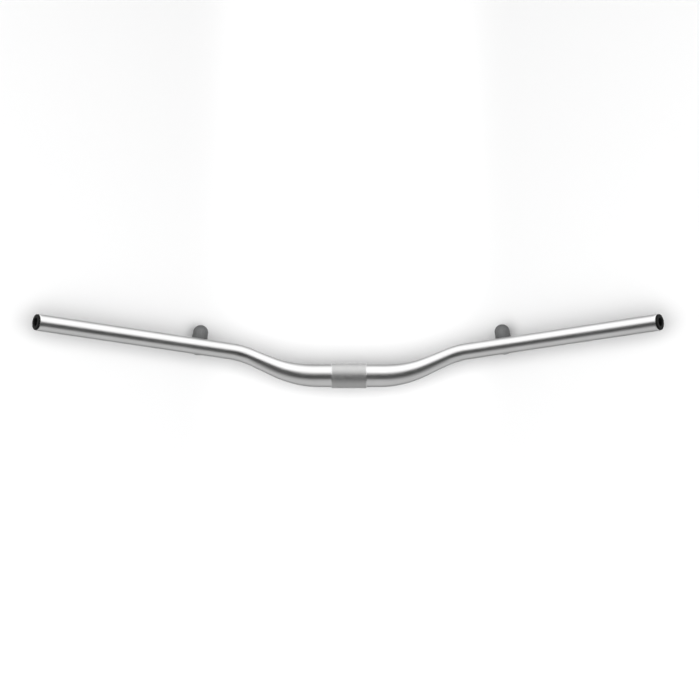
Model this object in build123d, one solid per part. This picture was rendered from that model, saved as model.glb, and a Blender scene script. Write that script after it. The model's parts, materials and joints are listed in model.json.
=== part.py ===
from build123d import *
import os

# A tapered tubular motorcycle handlebar with a clamp sleeve, two capped mirror bosses and
# two end plugs. Millimetres and degrees.
# +X is the rider's right, +Y is forward and +Z is up. The rider sits on the -Y side.
# The origin is on the bar's axis, in the middle of the clamp zone.
# The right half is described here, and the left half is its mirror image, apart from the
# left mirror boss, which stands a little further from its tip.

# Route of the bar's axis: its corners, and the radius of the bend at each
LOWER_CORNER = (77.0, 0.0, 0.0)
UPPER_CORNER = (149.4, -8.9, 31.7)
BAR_TIP = (407.1, -177.9, 72.0)
LOWER_BEND_RADIUS = 150.0
UPPER_BEND_RADIUS = 60.0

# Tube: thick at the clamp, with the main taper in the rising part. Past the upper bend it is
# a little over the grip size, and it steps down to it just outboard of the mirror boss.
CENTRE_DIAMETER = 31.8
BEND_DIAMETER = 22.5
GRIP_DIAMETER = 22.2
GRIP_ZONE_LENGTH = 227.0
STEP_LENGTH = 8.0
WALL = 3.2
TAPER_START = 38.0
TAPER_SECTIONS = 17
TUBE_END_CHAMFER = 0.6

# Sleeve that the handlebar clamp closes on
SLEEVE_DIAMETER = 35.0
SLEEVE_LENGTH = 49.0
SLEEVE_EDGE_RADIUS = 1.4

# Mirror boss: a short upright post with a domed foot, welded to the front of the bar
RIGHT_BOSS_FROM_TIP = 245.5
LEFT_BOSS_FROM_TIP = 253.0
BOSS_LEAN = 7.7
BOSS_BODY_DIAMETER = 19.4
BOSS_NECK_DIAMETER = 16.6
BOSS_BOTTOM = -13.6
BOSS_SHOULDER = 9.5
BOSS_TOP = 21.0
BOSS_PENETRATION = 3.0
BOSS_CHAMFER = 0.9
BOSS_FOOT_RADIUS = 10.8
THREAD_MINOR_DIAMETER = 8.7
THREAD_DEPTH = 26.0
THREAD_MOUTH_CHAMFER = 0.9

# Weld bead that runs round the joint between boss and bar
WELD_LEG = 2.2
WELD_TO_CAP = 0.3

# Run of the bar that is cut from the bosses and beads, long enough to pass right through them
BAR_BESIDE_BOSS_LENGTH = 60.0

# Domed cap that covers the threaded end of the boss, flared at its foot
CAP_DIAMETER = 20.7
CAP_TOP = 28.4
CAP_FLARE_DIAMETER = 22.0
CAP_FLARE_HEIGHT = 4.5
CAP_AIR_GAP = 0.6

# Plug that closes each end of the tube
PLUG_FLANGE_DIAMETER = 20.8
PLUG_FLANGE_THICKNESS = 2.6
PLUG_EDGE_RADIUS = 1.1
PLUG_STEM_LENGTH = 18.0
PLUG_GROOVE_DEPTH = 0.6
PLUG_GROOVE_WIDTH = 2.4
PLUG_GROOVES = 3
PLUG_RECESS_DIAMETER = 11.0
PLUG_RECESS_DEPTH = 9.0
PLUG_RECESS_CHAMFER = 0.8

UP = Vector(0, 0, 1)
LENGTH_TOLERANCE = 1e-6
grip_radius = GRIP_DIAMETER / 2
bend_radius = BEND_DIAMETER / 2
bore_radius = grip_radius - WALL


def frame_across(origin, direction):
    """Plane square to the bar, with its x axis level."""
    return Plane(origin=origin, x_dir=direction.cross(UP), z_dir=direction)


# ---------------------------------------------------------------- route of the right half
route = FilletPolyline(
    (0, 0, 0),
    LOWER_CORNER,
    UPPER_CORNER,
    BAR_TIP,
    radius=(LOWER_BEND_RADIUS, UPPER_BEND_RADIUS),
)
centre_run, lower_bend, rise, upper_bend, grip_run = route.edges().sort_by(Axis.X)
taper_end = centre_run.length + lower_bend.length + rise.length
tip = Vector(*BAR_TIP)
grip_direction = (tip - Vector(*UPPER_CORNER)).normalized()
tube_end = tip - grip_direction * PLUG_FLANGE_THICKNESS


def point_on_route(distance):
    """Place and direction on the route, at a distance along it from the middle."""
    for edge in (centre_run, lower_bend, rise, upper_bend, grip_run):
        if distance <= edge.length + LENGTH_TOLERANCE:
            break
        distance -= edge.length
    reached = min(distance / edge.length, 1.0)
    return edge.position_at(reached), edge.tangent_at(reached)


def taper_radius(distance):
    """Outer radius of the tube, easing in and out of the taper."""
    share = (distance - TAPER_START) / (taper_end - TAPER_START)
    eased = share * share * (3 - 2 * share)
    return (CENTRE_DIAMETER + (BEND_DIAMETER - CENTRE_DIAMETER) * eased) / 2


def half_bar(inset, overrun):
    """Solid right half of the bar, inset from the tube's outer surface."""
    middle = extrude(Plane.YZ * Circle(CENTRE_DIAMETER / 2 - inset), TAPER_START)
    rings = []
    for number in range(TAPER_SECTIONS):
        distance = TAPER_START + (taper_end - TAPER_START) * number / (TAPER_SECTIONS - 1)
        place, direction = point_on_route(distance)
        rings.append(frame_across(place, direction) * Circle(taper_radius(distance) - inset))
    taper = loft(rings)
    bend_start = frame_across(upper_bend.position_at(0), upper_bend.tangent_at(0))
    bend = sweep(bend_start * Circle(bend_radius - inset), path=upper_bend)
    step_end = frame_across(tip - grip_direction * GRIP_ZONE_LENGTH, grip_direction)
    step_start = step_end.offset(-STEP_LENGTH)
    straight_start = frame_across(grip_run.position_at(0), grip_direction)
    straight_length = (step_start.origin - straight_start.origin).length
    straight = extrude(straight_start * Circle(bend_radius - inset), straight_length)
    step = loft([step_start * Circle(bend_radius - inset), step_end * Circle(grip_radius - inset)])
    grip_length = (tube_end - step_end.origin).length + overrun
    grip = extrude(step_end * Circle(grip_radius - inset), grip_length)
    return middle + taper + bend + straight + step + grip


# ---------------------------------------------------------------- tube
def make_tube():
    half = half_bar(inset=0, overrun=0)
    end_edge = half.edges().filter_by(GeomType.CIRCLE).sort_by(Axis.X)[-1]
    half = chamfer(end_edge, TUBE_END_CHAMFER)
    half = half - half_bar(inset=WALL, overrun=1)
    return half + mirror(half, about=Plane.YZ)


# ---------------------------------------------------------------- clamp sleeve
def make_sleeve():
    along_x = Plane.YZ.offset(-SLEEVE_LENGTH / 2)
    sleeve = extrude(along_x * Circle(SLEEVE_DIAMETER / 2), SLEEVE_LENGTH)
    sleeve = fillet(sleeve.edges().filter_by(GeomType.CIRCLE), SLEEVE_EDGE_RADIUS)
    return sleeve - extrude(along_x * Circle(CENTRE_DIAMETER / 2), SLEEVE_LENGTH)


# ---------------------------------------------------------------- mirror boss, bead and cap
# In the boss's own frame the post stands along z, the bar runs along x and the bar's axis
# is boss_offset behind the post.
boss_offset = bend_radius + BOSS_BODY_DIAMETER / 2 - BOSS_PENETRATION
level_front = UP.cross(grip_direction).normalized()
upright = grip_direction.cross(level_front)
boss_axis = upright.rotate(Axis((0, 0, 0), grip_direction), BOSS_LEAN)
boss_front = level_front.rotate(Axis((0, 0, 0), grip_direction), BOSS_LEAN)


def bar_beside_boss(growth):
    """The bar as the boss sees it, grown by this much."""
    bar = Cylinder(bend_radius + growth, BAR_BESIDE_BOSS_LENGTH)
    return Pos(0, -boss_offset, 0) * Rot(0, 90, 0) * bar


def boss_frame(from_tip):
    """The boss's own frame, for a boss that stands this far along the bar from its tip."""
    centre = tip - grip_direction * from_tip + boss_front * boss_offset
    return Plane(origin=centre, x_dir=grip_direction, z_dir=boss_axis)


def upright_cylinder(diameter, bottom, top):
    return extrude(Plane.XY.offset(bottom) * Circle(diameter / 2), top - bottom)


def boss_body(growth, top):
    """Body of the boss with its domed foot, grown by this much on all sides but the top."""
    foot_centre = BOSS_BOTTOM + BOSS_FOOT_RADIUS
    foot = Pos(0, 0, foot_centre) * Sphere(BOSS_FOOT_RADIUS + growth)
    above_foot = upright_cylinder(3 * BOSS_BODY_DIAMETER, foot_centre, top)
    column = upright_cylinder(BOSS_BODY_DIAMETER + 2 * growth, BOSS_BOTTOM - growth, top)
    return column & (foot + above_foot)


def make_boss():
    body = boss_body(0, BOSS_SHOULDER)
    neck = upright_cylinder(BOSS_NECK_DIAMETER, BOSS_SHOULDER, BOSS_TOP)
    neck = chamfer(neck.edges().filter_by(GeomType.CIRCLE).sort_by(Axis.Z)[-1], BOSS_CHAMFER)
    hole = upright_cylinder(THREAD_MINOR_DIAMETER, BOSS_TOP - THREAD_DEPTH, BOSS_TOP)
    mouth = Pos(0, 0, BOSS_TOP - THREAD_MOUTH_CHAMFER / 2) * Cone(
        THREAD_MINOR_DIAMETER / 2,
        THREAD_MINOR_DIAMETER / 2 + THREAD_MOUTH_CHAMFER,
        THREAD_MOUTH_CHAMFER,
    )
    return body + neck - hole - mouth - bar_beside_boss(0)


def make_weld_bead():
    near_post = boss_body(WELD_LEG, BOSS_SHOULDER - WELD_TO_CAP)
    ring = near_post & bar_beside_boss(WELD_LEG)
    return ring - boss_body(0, BOSS_SHOULDER) - bar_beside_boss(0)


def make_cap():
    radius = CAP_DIAMETER / 2
    wall = upright_cylinder(CAP_DIAMETER, BOSS_SHOULDER, CAP_TOP - radius)
    dome = Pos(0, 0, CAP_TOP - radius) * Sphere(radius)
    above = upright_cylinder(3 * CAP_DIAMETER, CAP_TOP - radius, CAP_TOP + radius)
    flare = Pos(0, 0, BOSS_SHOULDER + CAP_FLARE_HEIGHT / 2) * Cone(
        CAP_FLARE_DIAMETER / 2,
        radius,
        CAP_FLARE_HEIGHT,
    )
    cavity = upright_cylinder(BOSS_NECK_DIAMETER, BOSS_SHOULDER, BOSS_TOP + CAP_AIR_GAP)
    return wall + (dome & above) + flare - cavity


# ---------------------------------------------------------------- end plug
# In the plug's own frame z points out of the tube and the outer face is at z = 0.
plug_frame = frame_across(tip, grip_direction)


def make_plug():
    flange = upright_cylinder(PLUG_FLANGE_DIAMETER, -PLUG_FLANGE_THICKNESS, 0)
    flange = fillet(flange.edges().filter_by(GeomType.CIRCLE).sort_by(Axis.Z)[-1], PLUG_EDGE_RADIUS)
    stem_end = -PLUG_FLANGE_THICKNESS - PLUG_STEM_LENGTH
    stem = upright_cylinder(2 * bore_radius, stem_end, -PLUG_FLANGE_THICKNESS)
    stem = chamfer(stem.edges().filter_by(GeomType.CIRCLE).sort_by(Axis.Z)[0], PLUG_GROOVE_DEPTH)
    core_diameter = 2 * (bore_radius - PLUG_GROOVE_DEPTH)
    for number in range(PLUG_GROOVES):
        middle = -PLUG_FLANGE_THICKNESS - PLUG_STEM_LENGTH * (number + 1) / (PLUG_GROOVES + 1)
        low = middle - PLUG_GROOVE_WIDTH / 2
        high = middle + PLUG_GROOVE_WIDTH / 2
        core = upright_cylinder(core_diameter, low, high)
        stem = stem - (upright_cylinder(GRIP_DIAMETER, low, high) - core)
    recess = upright_cylinder(PLUG_RECESS_DIAMETER, -PLUG_RECESS_DEPTH, 0)
    mouth = Pos(0, 0, -PLUG_RECESS_CHAMFER / 2) * Cone(
        PLUG_RECESS_DIAMETER / 2,
        PLUG_RECESS_DIAMETER / 2 + PLUG_RECESS_CHAMFER,
        PLUG_RECESS_CHAMFER,
    )
    return flange + stem - recess - mouth


# ---------------------------------------------------------------- write the pieces
def write(node, shape):
    export_step(shape.solid(), f"parts/{node}.step")


def write_pair(node, right_shape, left_shape_in_right_half):
    write(f"{node}_right", right_shape)
    write(f"{node}_left", mirror(left_shape_in_right_half, about=Plane.YZ))


def write_boss_pair(node, shape):
    write_pair(node, boss_frame(RIGHT_BOSS_FROM_TIP) * shape, boss_frame(LEFT_BOSS_FROM_TIP) * shape)


os.makedirs("parts", exist_ok=True)
write("bar_tube", make_tube())
write("clamp_sleeve", make_sleeve())
write_boss_pair("mirror_boss", make_boss())
write_boss_pair("weld_bead", make_weld_bead())
write_boss_pair("boss_cap", make_cap())
write_pair("end_plug", plug_frame * make_plug(), plug_frame * make_plug())
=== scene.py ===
import json
import math
import random

import bpy
from mathutils import Matrix, Vector


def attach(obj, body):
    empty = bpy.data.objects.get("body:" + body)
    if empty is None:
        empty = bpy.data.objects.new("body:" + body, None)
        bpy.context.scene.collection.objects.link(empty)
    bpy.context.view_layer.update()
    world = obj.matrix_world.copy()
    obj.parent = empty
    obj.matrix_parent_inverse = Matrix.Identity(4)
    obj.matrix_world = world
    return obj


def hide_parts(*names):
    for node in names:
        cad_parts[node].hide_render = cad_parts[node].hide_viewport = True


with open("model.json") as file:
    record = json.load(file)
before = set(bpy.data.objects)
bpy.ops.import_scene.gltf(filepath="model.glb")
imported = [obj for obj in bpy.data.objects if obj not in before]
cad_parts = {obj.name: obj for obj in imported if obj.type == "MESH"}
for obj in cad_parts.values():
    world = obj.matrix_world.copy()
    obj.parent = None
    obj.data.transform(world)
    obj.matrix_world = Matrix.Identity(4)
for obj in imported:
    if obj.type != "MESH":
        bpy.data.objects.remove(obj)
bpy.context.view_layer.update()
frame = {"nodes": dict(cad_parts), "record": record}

# ------------------------------------------------------------------ driving values, in metres
CAMERA_PLACE = (0.0375, -3.0, 0.0354)
CAMERA_YAW = math.radians(0.694)
CAMERA_LENS = 111.5
SENSOR_WIDTH = 36.0
CAMERA_NEAREST = 0.05
CAMERA_FARTHEST = 60.0

# Corners of the bar's axis in its right half; the left half is the mirror image
MIDDLE = Vector((0.0, 0.0, 0.0))
LOWER_CORNER = Vector((0.0770, 0.0, 0.0))
UPPER_CORNER = Vector((0.1494, -0.0089, 0.0317))
BAR_TIP = Vector((0.4071, -0.1779, 0.0720))
LOWER_BEND_RADIUS = 0.150
UPPER_BEND_RADIUS = 0.060

# Tube: its radii from the middle to the grips, and the places where they change
CENTRE_RADIUS = 0.0159
BEND_RADIUS = 0.01125
GRIP_RADIUS = 0.0111
WALL = 0.0032
TAPER_START = 0.038
GRIP_ZONE_LENGTH = 0.227
STEP_LENGTH = 0.008
PLUG_FLANGE = 0.0026
END_CHAMFER = 0.0006
RING_SPACING = 0.003
TUBE_SEGMENTS = 40

# Sleeve, and the part of its rounded edge that is painted bright as a highlight and made smoother
SLEEVE_HALF_LENGTH = 0.0245
HIGHLIGHT_STARTS_INSIDE = 0.0017
HIGHLIGHT_FULL_INSIDE = 0.0006

# Mirror boss where the weld bead joins it to the bar
BOSS_RADIUS = 0.0097
BOSS_OFFSET = 0.01795
BOSS_TOP = 0.0210
FOOT_RADIUS = 0.0108
FOOT_CENTRE = -0.0028

# Weld bead: half width along the surfaces, half height out of the corner, and its ripples
BEAD_HALF_WIDTH = 0.0021
BEAD_HALF_HEIGHT = 0.0014
BEAD_RIPPLES = 27
RIPPLE_DEPTH = 0.20
RIPPLE_BOW = 0.30
RINGS_PER_RIPPLE = 8
BEAD_SEGMENTS = 16
RIPPLE_SHARPNESS = 0.6
RIPPLE_SIZES = (0.94, 1.04)
WELDER_SEEDS = {"left": 12, "right": 11}
HALVINGS = 40

# Studio: a white sheet that follows the bar on its forward side, away from the camera, with
# the bar's soft shadow on it, and a floor below
FLOOR_HEIGHT = -0.62
FLOOR_HALF_SIZE = 6.0
SHEET_GAP = 0.031
SHEET_TOP = 0.75
SHEET_END_REACH = 0.9
SHEET_COLUMNS = 400
SHEET_SMOOTHING = 60

# Softboxes: place, width, height and power in watts
SOFTBOXES = {
    "front_softbox": ((0.0, -2.4, -0.55), 12.0, 4.4, 300),
    "back_softbox": ((0.0, 2.4, 0.8), 4.0, 3.0, 60),
}

# Brightness round the bar, by degrees from the front horizon: 90 is overhead, -90 is below
STUDIO_BANDS = (
    (-180, 0.90),
    (-166, 0.85),
    (-156, 0.12),
    (-142, 0.16),
    (-126, 0.40),
    (-100, 0.55),
    (-44, 0.57),
    (-24, 0.04),
    (15, 0.02),
    (37, 1.25),
    (84, 1.25),
    (118, 0.38),
    (146, 0.26),
    (160, 0.90),
    (180, 0.90),
)

# Towards the sides the bands turn by this many degrees and spread by this share, and matt
# surfaces see an even, dim surround instead of the bands
SIDE_SHIFT = 16.0
SIDE_SPREAD = 0.5
DIFFUSE_AMBIENT = 0.06

# Mesh attribute with each point's place on the bar as if the bar were straight
STRAIGHTENED = "straightened"

scene = bpy.context.scene
nodes_of_frame = frame["nodes"]
mounts = {mount["name"]: mount for mount in frame["record"]["mounts"]}
UP = Vector((0, 0, 1))


def link(thing):
    scene.collection.objects.link(thing)
    return thing


def mesh_object(name, vertices, faces, material):
    mesh = bpy.data.meshes.new(name)
    mesh.from_pydata(vertices, [], faces)
    mesh.materials.append(material)
    mesh.polygons.foreach_set("use_smooth", [True] * len(mesh.polygons))
    mesh.update()
    return link(bpy.data.objects.new(name, mesh))


def ring_faces(rings, segments):
    """Faces of a closed chain of rings, each with the same number of points."""
    faces = []
    for ring in range(rings):
        after = (ring + 1) % rings
        for segment in range(segments):
            beside = (segment + 1) % segments
            corners = ((ring, segment), (ring, beside), (after, beside), (after, segment))
            faces.append([segments * i + j for i, j in corners])
    return faces


# ------------------------------------------------------------------ node helpers
class Graph:
    """Adds nodes to a node tree; an input is a value or another node's output."""

    def __init__(self, tree):
        self.tree = tree

    def add(self, kind, settings=None, inputs=None):
        node = self.tree.nodes.new("ShaderNode" + kind)
        for name, value in (settings or {}).items():
            setattr(node, name, value)
        for name, value in (inputs or {}).items():
            self.feed(node.inputs[name], value)
        return node

    def feed(self, socket, value):
        if isinstance(value, bpy.types.NodeSocket):
            self.tree.links.new(value, socket)
        else:
            socket.default_value = value

    def math(self, operation, first, second=0.0):
        return self.add("Math", {"operation": operation}, {0: first, 1: second}).outputs[0]

    def dot(self, vector, direction):
        inputs = {0: vector, 1: tuple(direction)}
        return self.add("VectorMath", {"operation": "DOT_PRODUCT"}, inputs).outputs["Value"]

    def join(self, x, y, z):
        return self.add("CombineXYZ", None, {0: x, 1: y, 2: z}).outputs[0]

    def stretch(self, vector, scales):
        return self.add("VectorMath", {"operation": "MULTIPLY"}, {0: vector, 1: scales}).outputs[0]

    def split(self, vector):
        return self.add("SeparateXYZ", None, {0: vector}).outputs

    def remap(self, value, from_low, from_high, to_low, to_high, smooth=False):
        settings = {"interpolation_type": "SMOOTHSTEP" if smooth else "LINEAR"}
        inputs = {
            "Value": value,
            "From Min": from_low,
            "From Max": from_high,
            "To Min": to_low,
            "To Max": to_high,
        }
        return self.add("MapRange", settings, inputs).outputs["Result"]

    def share(self, value, low=0.3, high=0.7):
        """Value as a share from 0 to 1 between two levels."""
        return self.remap(value, low, high, 0.0, 1.0)

    def noise(self, vector, scale, detail=3.0, roughness=0.55):
        inputs = {"Vector": vector, "Scale": scale, "Detail": detail, "Roughness": roughness}
        return self.add("TexNoise", None, inputs).outputs["Fac"]

    def shade(self, share, dark, light):
        """Colour that runs from dark to light as share goes from 0 to 1."""
        node = self.add("Mix", {"data_type": "RGBA"}, {0: share})
        self.feed(node.inputs[6], (*dark, 1.0))
        self.feed(node.inputs[7], (*light, 1.0))
        return node.outputs[2]

    def bump(self, height, strength, distance, below=None):
        inputs = {"Height": height, "Strength": strength, "Distance": distance}
        if below is not None:
            inputs["Normal"] = below
        return self.add("Bump", None, inputs).outputs["Normal"]


def new_material(name, metallic):
    material = bpy.data.materials.new(name)
    material.use_nodes = True
    graph = Graph(material.node_tree)
    shader = material.node_tree.nodes["Principled BSDF"]
    shader.inputs["Metallic"].default_value = metallic
    place = graph.add("TexCoord").outputs["Object"]
    return material, graph, shader, place


def finish_surface(graph, shader, colour, roughness, normal):
    graph.feed(shader.inputs["Base Color"], colour)
    graph.feed(shader.inputs["Roughness"], roughness)
    graph.feed(shader.inputs["Normal"], normal)


# ------------------------------------------------------------------ metal
def along_and_across(graph, place, direction, along_scale, across_scale):
    """The place measured along a direction and twice across it, each at its own scale."""
    side = direction.cross(UP).normalized()
    over = side.cross(direction)
    along = graph.dot(place, direction * along_scale)
    sideways = graph.dot(place, side * across_scale)
    upward = graph.dot(place, over * across_scale)
    return graph.join(along, sideways, upward)


def make_bar_material():
    """Clear anodised aluminium, satin polished along its length."""
    material, graph, shader, place = new_material("satin_anodised_bar", 1.0)
    straight = graph.add("Attribute", {"attribute_name": STRAIGHTENED}).outputs["Vector"]
    grain = graph.noise(graph.stretch(straight, (45.0, 3600.0, 3600.0)), 1.0, 3.0, 0.6)
    streaks = graph.noise(graph.stretch(straight, (9.0, 650.0, 650.0)), 1.0, 3.0, 0.55)
    clouds = graph.noise(place, 28.0, 4.0)
    handling = graph.noise(place, 75.0, 3.0, 0.7)
    scratched = graph.noise(graph.stretch(straight, (22.0, 1500.0, 1500.0)), 1.0, 1.0)
    scratch = graph.share(scratched, 0.72, 0.76)
    half_clouds = graph.math("MULTIPLY", clouds, 0.5)
    tone = graph.math("ADD", graph.math("MULTIPLY", streaks, 0.5), half_clouds)
    colour = graph.shade(graph.share(tone, 0.35, 0.65), (0.83, 0.83, 0.825), (0.90, 0.90, 0.90))
    satin = graph.remap(streaks, 0.30, 0.70, 0.30, 0.36)
    worn = graph.remap(handling, 0.35, 0.75, -0.015, 0.035)
    dulled = graph.math("MULTIPLY", scratch, 0.05)
    roughness = graph.math("ADD", graph.math("ADD", satin, worn), dulled)
    relief = graph.math("SUBTRACT", grain, graph.math("MULTIPLY", scratch, 0.8))
    finish_surface(graph, shader, colour, roughness, graph.bump(relief, 0.12, 0.00004))
    return material


def make_sleeve_material():
    """Bead-blasted aluminium; its rounded ends carry a painted highlight and are smoother."""
    material, graph, shader, place = new_material("bead_blasted_sleeve", 1.0)
    blasting = graph.noise(place, 2600.0, 2.0, 0.6)
    mottle = graph.noise(place, 120.0, 4.0, 0.6)
    turned = along_and_across(graph, place, Vector((1, 0, 0)), 3800.0, 30.0)
    turning = graph.noise(turned, 1.0, 2.0, 0.5)
    from_middle = graph.math("ABSOLUTE", graph.split(place)["X"])
    highlight_start = SLEEVE_HALF_LENGTH - HIGHLIGHT_STARTS_INSIDE
    highlight_full = SLEEVE_HALF_LENGTH - HIGHLIGHT_FULL_INSIDE
    edge_highlight_and_gloss = graph.remap(from_middle, highlight_start, highlight_full, 0.0, 1.0, smooth=True)
    matt = graph.shade(graph.share(mottle), (0.60, 0.60, 0.60), (0.67, 0.67, 0.665))
    # painted highlight: the rounded ends get a bright colour in place of the light their fillets
    # reflect
    colour_mix = graph.add("Mix", {"data_type": "RGBA"}, {0: edge_highlight_and_gloss})
    graph.feed(colour_mix.inputs[6], matt)
    colour_mix.inputs[7].default_value = (0.86, 0.86, 0.86, 1.0)
    rough = graph.remap(mottle, 0.3, 0.7, 0.50, 0.58)
    roughness = graph.math("SUBTRACT", rough, graph.math("MULTIPLY", edge_highlight_and_gloss, 0.20))
    shader.inputs["Sheen Weight"].default_value = 0.8
    shader.inputs["Sheen Roughness"].default_value = 0.35
    lines = graph.bump(turning, 0.10, 0.00005)
    normal = graph.bump(blasting, 0.22, 0.00008, below=lines)
    finish_surface(graph, shader, colour_mix.outputs[2], roughness, normal)
    return material


def make_boss_material(side):
    """Turned aluminium: fine rings round the boss's own axis."""
    material, graph, shader, place = new_material("turned_boss_" + side, 1.0)
    axis = Vector(mounts["mirror_" + side]["axis"])
    rings = graph.noise(along_and_across(graph, place, axis, 5200.0, 40.0), 1.0, 3.0, 0.6)
    clouds = graph.noise(place, 160.0, 3.0)
    colour = graph.shade(graph.share(clouds), (0.70, 0.70, 0.695), (0.80, 0.80, 0.80))
    roughness = graph.remap(rings, 0.3, 0.7, 0.28, 0.42)
    finish_surface(graph, shader, colour, roughness, graph.bump(rings, 0.30, 0.00008))
    return material


def make_weld_material():
    """Bare weld metal with a trace of soot in random patches."""
    material, graph, shader, place = new_material("weld_metal", 1.0)
    soot = graph.noise(place, 420.0, 4.0, 0.65)
    pits = graph.noise(place, 2400.0, 2.0, 0.6)
    colour = graph.shade(graph.share(soot, 0.30, 0.65), (0.46, 0.455, 0.45), (0.76, 0.76, 0.755))
    roughness = graph.remap(soot, 0.3, 0.7, 0.46, 0.30)
    finish_surface(graph, shader, colour, roughness, graph.bump(pits, 0.25, 0.0001))
    return material


# ------------------------------------------------------------------ rubber and plastic
def make_cap_material(side):
    """Moulded dark grey rubber, streaked along the pull of its mould."""
    material, graph, shader, place = new_material("moulded_rubber_" + side, 0.0)
    axis = Vector(mounts["mirror_" + side]["axis"])
    streaks = graph.noise(along_and_across(graph, place, axis, 90.0, 900.0), 1.0, 3.0, 0.6)
    speckle = graph.noise(place, 3200.0, 2.0, 0.7)
    blotches = graph.noise(place, 220.0, 3.0)
    some_blotches = graph.math("MULTIPLY", blotches, 0.4)
    tone = graph.math("ADD", graph.math("MULTIPLY", streaks, 0.6), some_blotches)
    darker_rubber, worn = (0.125, 0.127, 0.128), (0.170, 0.173, 0.173)
    colour = graph.shade(graph.share(tone, 0.35, 0.65), darker_rubber, worn)
    roughness = graph.remap(speckle, 0.3, 0.7, 0.52, 0.68)
    fine = graph.bump(speckle, 0.25, 0.00008)
    finish_surface(graph, shader, colour, roughness, graph.bump(streaks, 0.10, 0.0001, below=fine))
    return material


def make_plug_material():
    """Black plastic with a fine spark-eroded skin."""
    material, graph, shader, place = new_material("black_plastic", 0.0)
    skin = graph.noise(place, 2300.0, 3.0, 0.65)
    smears = graph.noise(place, 260.0, 3.0)
    colour = graph.shade(graph.share(smears), (0.003, 0.003, 0.003), (0.008, 0.008, 0.008))
    shader.inputs["Specular IOR Level"].default_value = 0.15
    roughness = graph.remap(smears, 0.3, 0.7, 0.46, 0.62)
    finish_surface(graph, shader, colour, roughness, graph.bump(skin, 0.30, 0.0001))
    return material


def dress(node, material):
    for slot in nodes_of_frame[node].material_slots:
        slot.material = material


# ------------------------------------------------------------------ tube
class Run:
    """Straight stretch of the route."""

    def __init__(self, start, end):
        self.start = start
        self.direction = (end - start).normalized()
        self.length = (end - start).length

    def at(self, distance):
        return self.start + self.direction * distance, self.direction


class Bend:
    """Arc that rounds off a corner of the route."""

    def __init__(self, before, corner, after, radius):
        back = (before - corner).normalized()
        onward = (after - corner).normalized()
        half_angle = back.angle(onward) / 2
        self.start = corner + back * (radius / math.tan(half_angle))
        self.end = corner + onward * (radius / math.tan(half_angle))
        self.centre = corner + (back + onward).normalized() * (radius / math.sin(half_angle))
        self.heading = -back
        self.radius = radius
        self.length = radius * (math.pi - 2 * half_angle)

    def at(self, distance):
        turn = distance / self.radius
        spoke = (self.start - self.centre).normalized()
        outward = spoke * math.cos(turn) + self.heading * math.sin(turn)
        direction = self.heading * math.cos(turn) - spoke * math.sin(turn)
        return self.centre + outward * self.radius, direction


def make_route():
    lower = Bend(MIDDLE, LOWER_CORNER, UPPER_CORNER, LOWER_BEND_RADIUS)
    upper = Bend(LOWER_CORNER, UPPER_CORNER, BAR_TIP, UPPER_BEND_RADIUS)
    rise = Run(lower.end, upper.start)
    return [Run(MIDDLE, lower.start), lower, rise, upper, Run(upper.end, BAR_TIP)]


route = make_route()
taper_end = sum(part.length for part in route[:3])
tip_distance = sum(part.length for part in route)
step_end = tip_distance - GRIP_ZONE_LENGTH
tube_end = tip_distance - PLUG_FLANGE


def point_on_route(distance):
    """Place and heading at a distance from the middle, which is negative in the left half."""
    left = abs(distance)
    for part in route:
        if left <= part.length:
            break
        left -= part.length
    place, heading = part.at(left)
    if distance < 0:
        return Vector((-place.x, place.y, place.z)), Vector((heading.x, -heading.y, -heading.z))
    return place, heading


def tube_radius(distance):
    """Outer radius of the tube at a distance from the middle."""
    out = abs(distance)
    if out < taper_end:
        share = max((out - TAPER_START) / (taper_end - TAPER_START), 0.0)
        eased = share * share * (3 - 2 * share)
        return CENTRE_RADIUS + (BEND_RADIUS - CENTRE_RADIUS) * eased
    step = min(max((out - step_end) / STEP_LENGTH + 1, 0.0), 1.0)
    chamfer = max(out - (tube_end - END_CHAMFER), 0.0)
    return BEND_RADIUS + (GRIP_RADIUS - BEND_RADIUS) * step - chamfer


def tube_stations():
    """Distances of the tube's rings, with one at each place where its radius changes."""
    count = math.ceil(tube_end / RING_SPACING)
    even = [tube_end * number / count for number in range(count)]
    changes = [TAPER_START, taper_end, step_end - STEP_LENGTH, step_end]
    half = sorted(even + changes + [tube_end - END_CHAMFER, tube_end])
    return [-distance for distance in reversed(half[1:])] + half


def make_tube(material):
    stations = tube_stations()
    bore = [(distance, tube_radius(distance) - WALL) for distance in reversed(stations[1:-1])]
    bore_end = GRIP_RADIUS - WALL
    outside = [(distance, tube_radius(distance)) for distance in stations]
    rings = outside + [(tube_end, bore_end)] + bore + [(-tube_end, bore_end)]
    vertices = []
    straightened = []
    for distance, radius in rings:
        place, heading = point_on_route(distance)
        side = UP.cross(heading).normalized()
        over = heading.cross(side)
        for segment in range(TUBE_SEGMENTS):
            turn = 2 * math.pi * (segment + 0.5) / TUBE_SEGMENTS
            across = radius * math.cos(turn)
            upward = radius * math.sin(turn)
            vertices.append(place + side * across + over * upward)
            straightened += (distance, across, upward)
    tube = mesh_object("handlebar_tube", vertices, ring_faces(len(rings), TUBE_SEGMENTS), material)
    grain = tube.data.attributes.new(STRAIGHTENED, "FLOAT_VECTOR", "POINT")
    grain.data.foreach_set("vector", straightened)
    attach(tube, "root")
    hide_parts("bar_tube")


# ------------------------------------------------------------------ weld beads
def boss_matrix(side):
    """The boss's own frame: it stands along z, the bar runs along x and lies behind it."""
    mount = mounts["mirror_" + side]
    axis = Vector(mount["axis"]).normalized()
    grip = Vector(mounts["grip_" + side]["axis"])
    along = grip if side == "right" else -grip
    along = (along - axis * along.dot(axis)).normalized()
    front = axis.cross(along)
    turn = Matrix((along, front, axis)).transposed().to_4x4()
    centre = Vector(mount["pos_m"]) - axis * BOSS_TOP
    return Matrix.Translation(centre) @ turn


def bar_front(height):
    return math.sqrt(BEND_RADIUS**2 - height**2) - BOSS_OFFSET


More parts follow.
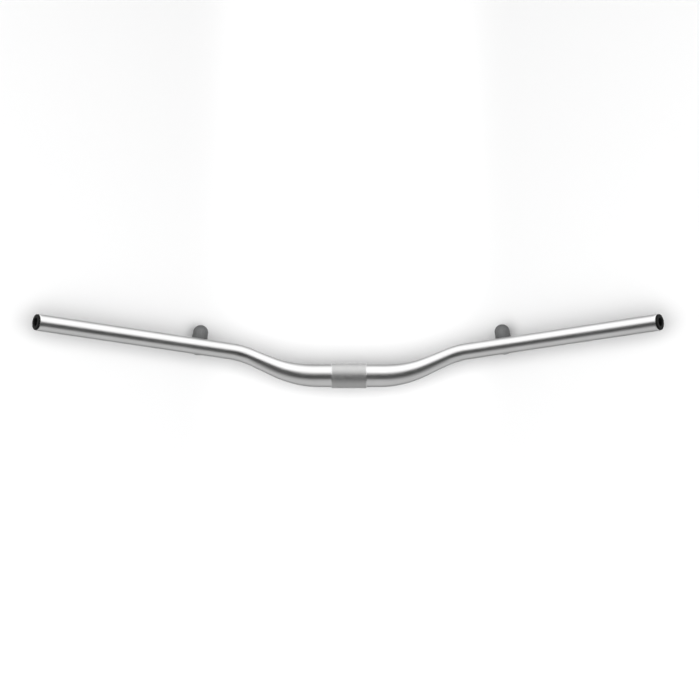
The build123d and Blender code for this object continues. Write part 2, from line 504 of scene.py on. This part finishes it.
def boss_radius_at(height):
    below = FOOT_CENTRE - height
    if below <= 0:
        return BOSS_RADIUS
    return min(BOSS_RADIUS, math.sqrt(max(FOOT_RADIUS**2 - below**2, 0.0)))


def joint_point(angle):
    """Point at this angle on the line where the boss meets the bar, found by halving."""
    inside = 0.0
    outside = BEND_RADIUS * 0.999
    for _ in range(HALVINGS):
        reach = (inside + outside) / 2
        x = reach * math.cos(angle)
        z = reach * math.sin(angle)
        if math.hypot(x, bar_front(z)) < boss_radius_at(z):
            inside = reach
        else:
            outside = reach
    return Vector((x, bar_front(z), z))


def corner_direction(point):
    """Direction out of the corner between the bar and the boss."""
    bar_normal = Vector((0, point.y + BOSS_OFFSET, point.z)).normalized()
    foot_depth = min(point.z - FOOT_CENTRE, 0.0)
    boss_normal = Vector((point.x, point.y, foot_depth)).normalized()
    return (bar_normal + boss_normal).normalized()


def make_weld_bead(side, material):
    rings = BEAD_RIPPLES * RINGS_PER_RIPPLE
    line = [joint_point(2 * math.pi * ring / rings) for ring in range(rings)]
    welder = random.Random(WELDER_SEEDS[side])
    widths = [welder.uniform(*RIPPLE_SIZES) for _ in range(BEAD_RIPPLES)]
    vertices = []
    for ring, point in enumerate(line):
        ahead = line[(ring + 1) % rings] - line[ring - 1]
        out = corner_direction(point)
        across = ahead.cross(out).normalized()
        for segment in range(BEAD_SEGMENTS):
            turn = 2 * math.pi * segment / BEAD_SEGMENTS
            phase = ring / RINGS_PER_RIPPLE + RIPPLE_BOW * math.sin(turn) ** 2
            crest = abs(math.sin(math.pi * phase)) ** RIPPLE_SHARPNESS
            size = (1 - RIPPLE_DEPTH * (1 - crest)) * widths[int(phase) % BEAD_RIPPLES]
            rise = out * (BEAD_HALF_HEIGHT * math.cos(turn) * size)
            spread = across * (BEAD_HALF_WIDTH * math.sin(turn) * size)
            vertices.append(point + rise + spread)
    place = boss_matrix(side)
    faces = ring_faces(rings, BEAD_SEGMENTS)
    bead = mesh_object("weld_" + side, [place @ v for v in vertices], faces, material)
    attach(bead, "root")
    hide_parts("weld_bead_" + side)


# ------------------------------------------------------------------ studio
def make_camera():
    data = bpy.data.cameras.new("camera")
    data.lens = CAMERA_LENS
    data.sensor_width = SENSOR_WIDTH
    data.clip_start = CAMERA_NEAREST
    data.clip_end = CAMERA_FARTHEST
    camera = link(bpy.data.objects.new("camera", data))
    camera.location = CAMERA_PLACE
    camera.rotation_euler = (math.pi / 2, 0.0, CAMERA_YAW)
    scene.camera = camera


def make_paper(name, shade, glow, one_sided):
    """Matt paper, lit through by its glow; a one-sided sheet is clear from behind."""
    material, graph, shader, place = new_material(name, 0.0)
    fibre = graph.noise(place, 900.0, 2.0)
    light = (shade, shade, shade)
    dark = (shade * 0.99, shade * 0.99, shade * 0.99)
    graph.feed(shader.inputs["Base Color"], graph.shade(fibre, dark, light))
    shader.inputs["Roughness"].default_value = 1.0
    shader.inputs["Specular IOR Level"].default_value = 0.0
    shader.inputs["Emission Color"].default_value = (1.0, 1.0, 1.0, 1.0)
    shader.inputs["Emission Strength"].default_value = glow
    if one_sided:
        clear = graph.add("BsdfTransparent").outputs[0]
        behind = graph.add("NewGeometry").outputs["Backfacing"]
        both = graph.add("MixShader", None, {0: behind, 1: shader.outputs[0], 2: clear})
        graph.feed(material.node_tree.nodes["Material Output"].inputs["Surface"], both.outputs[0])
    return material


def sheet_line():
    """The sheet's line in plan: the bar's line, rounded off and moved forward."""
    beyond = UPPER_CORNER.xy + (BAR_TIP.xy - UPPER_CORNER.xy).normalized() * SHEET_END_REACH
    corners = [MIDDLE.xy, LOWER_CORNER.xy, UPPER_CORNER.xy, beyond]
    lengths = [(b - a).length for a, b in zip(corners, corners[1:])]
    half = []
    for step in range(SHEET_COLUMNS // 2 + 1):
        distance = sum(lengths) * 2 * step / SHEET_COLUMNS
        part = 0
        while part < len(lengths) - 1 and distance > lengths[part]:
            distance -= lengths[part]
            part += 1
        half.append(corners[part].lerp(corners[part + 1], distance / lengths[part]))
    line = [Vector((-point.x, point.y)) for point in reversed(half[1:])] + half
    for _ in range(SHEET_SMOOTHING):
        inner = [(a + 2 * b + c) / 4 for a, b, c in zip(line, line[1:], line[2:])]
        line = [line[0]] + inner + [line[-1]]
    moved = []
    for index, point in enumerate(line):
        ahead = (line[min(index + 1, len(line) - 1)] - line[max(index - 1, 0)]).normalized()
        moved.append(point + Vector((-ahead.y, ahead.x)) * SHEET_GAP)
    return moved


def make_sheet():
    line = sheet_line()
    heights = (FLOOR_HEIGHT, SHEET_TOP)
    vertices = [(point.x, point.y, height) for point in line for height in heights]
    faces = [(2 * i, 2 * i + 2, 2 * i + 3, 2 * i + 1) for i in range(len(line) - 1)]
    sheet = mesh_object("sheet", vertices, faces, make_paper("sheet_paper", 0.92, 0.0, True))
    sheet.visible_glossy = False
    sheet.visible_diffuse = False
    sheet.visible_transmission = False
    sheet.visible_shadow = False


def make_floor():
    size = FLOOR_HALF_SIZE
    plan = ((-size, -size), (size, -size), (size, size), (-size, size))
    corners = [(x, y, FLOOR_HEIGHT) for x, y in plan]
    paper = make_paper("floor_paper", 0.03, 0.95, False)
    floor = mesh_object("floor", corners, [(0, 1, 2, 3)], paper)
    floor.visible_glossy = False
    floor.visible_diffuse = False
    floor.visible_shadow = False


def make_softbox(name, place, width, height, power):
    """A soft light that matt surfaces take; the metal mirrors the world's bands instead."""
    data = bpy.data.lights.new(name, "AREA")
    data.shape = "RECTANGLE"
    data.size = width
    data.size_y = height
    data.energy = power
    softbox = link(bpy.data.objects.new(name, data))
    softbox.location = place
    aim = Vector((0, 0, place[2])) - Vector(place)
    softbox.rotation_euler = aim.to_track_quat("-Z", "Y").to_euler()
    softbox.visible_camera = False
    softbox.visible_glossy = False


def make_world():
    world = bpy.data.worlds.new("studio")
    scene.world = world
    world.use_nodes = True
    graph = Graph(world.node_tree)
    parts = graph.split(graph.add("TexCoord").outputs["Generated"])
    towards_front = graph.math("MULTIPLY", parts["Y"], -1.0)
    sideways = graph.math("ABSOLUTE", parts["X"])
    outwards = graph.math("ADD", towards_front, graph.math("MULTIPLY", sideways, SIDE_SPREAD))
    angle = graph.math("ARCTAN2", parts["Z"], outwards)
    shift = graph.remap(sideways, 0.0, 0.45, 0.0, math.radians(SIDE_SHIFT), smooth=True)
    frontness = graph.remap(towards_front, -0.5, 0.3, -0.2, 1.0)
    shifted = graph.math("ADD", angle, graph.math("MULTIPLY", shift, frontness))
    share = graph.remap(shifted, -math.pi, math.pi, 0.0, 1.0)
    ramp = graph.add("ValToRGB", None, {0: share})
    ramp.color_ramp.interpolation = "EASE"
    elements = ramp.color_ramp.elements
    while len(elements) < len(STUDIO_BANDS):
        elements.new(0.5)
    for element, (degrees, brightness) in zip(elements, STUDIO_BANDS):
        element.position = (degrees + 180) / 360
        element.color = (brightness, brightness, brightness, 1.0)
    path = graph.add("LightPath").outputs
    lights_matt = graph.math("GREATER_THAN", path["Diffuse Depth"], 0.5)
    seen = graph.add("Mix", {"data_type": "RGBA"}, {0: lights_matt})
    graph.feed(seen.inputs[6], ramp.outputs["Color"])
    seen.inputs[7].default_value = (DIFFUSE_AMBIENT, DIFFUSE_AMBIENT, DIFFUSE_AMBIENT, 1.0)
    backed = graph.add("Mix", {"data_type": "RGBA"}, {0: path["Is Camera Ray"]})
    graph.feed(backed.inputs[6], seen.outputs[2])
    backed.inputs[7].default_value = (1.0, 1.0, 1.0, 1.0)
    graph.feed(world.node_tree.nodes["Background"].inputs["Color"], backed.outputs[2])


make_camera()
make_world()
make_sheet()
make_floor()
for name, (place, width, height, power) in SOFTBOXES.items():
    make_softbox(name, place, width, height, power)

bar_material = make_bar_material()
dress("bar_tube", bar_material)
make_tube(bar_material)
dress("clamp_sleeve", make_sleeve_material())
weld_material = make_weld_material()
plug_material = make_plug_material()
for side in ("left", "right"):
    dress("mirror_boss_" + side, make_boss_material(side))
    dress("boss_cap_" + side, make_cap_material(side))
    dress("end_plug_" + side, plug_material)
    dress("weld_bead_" + side, weld_material)
    make_weld_bead(side, weld_material)

scene.view_settings.view_transform = "Standard"
